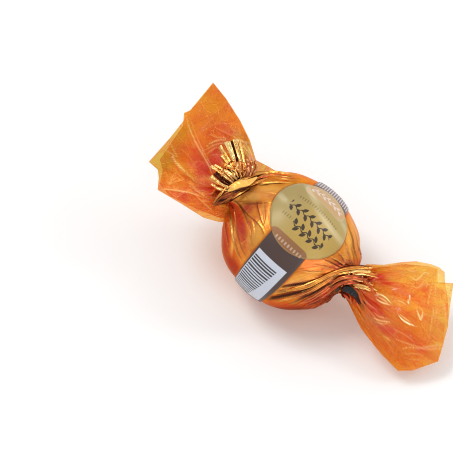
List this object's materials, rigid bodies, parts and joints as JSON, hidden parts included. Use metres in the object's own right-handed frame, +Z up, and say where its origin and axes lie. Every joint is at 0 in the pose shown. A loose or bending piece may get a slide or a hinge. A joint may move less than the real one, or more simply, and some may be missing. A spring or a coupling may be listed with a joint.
{
  "type": "wrapped chocolate bonbon",
  "caption": "Round chocolate bonbon in a shut twist wrapper: a foil-backed film ball with two twisted necks, fanned film tails and a wrap-round label.",
  "frame": {"origin": "centre of the small flat foot that the ball rests on", "axes": "+X along the two twists, from the higher, wider tail to the lower one; +Z up, square to the foot"},
  "size_m": [0.0923, 0.039, 0.0412],
  "materials": {
    "film": "glossy orange film over gold foil",
    "foil": "bright gold foil, crumpled",
    "label": "printed film label, satin to glossy"
  },
  "bodies": {
    "root": {"wrapped_bonbon": "film", "label": "label"}
  },
  "joints": []
}
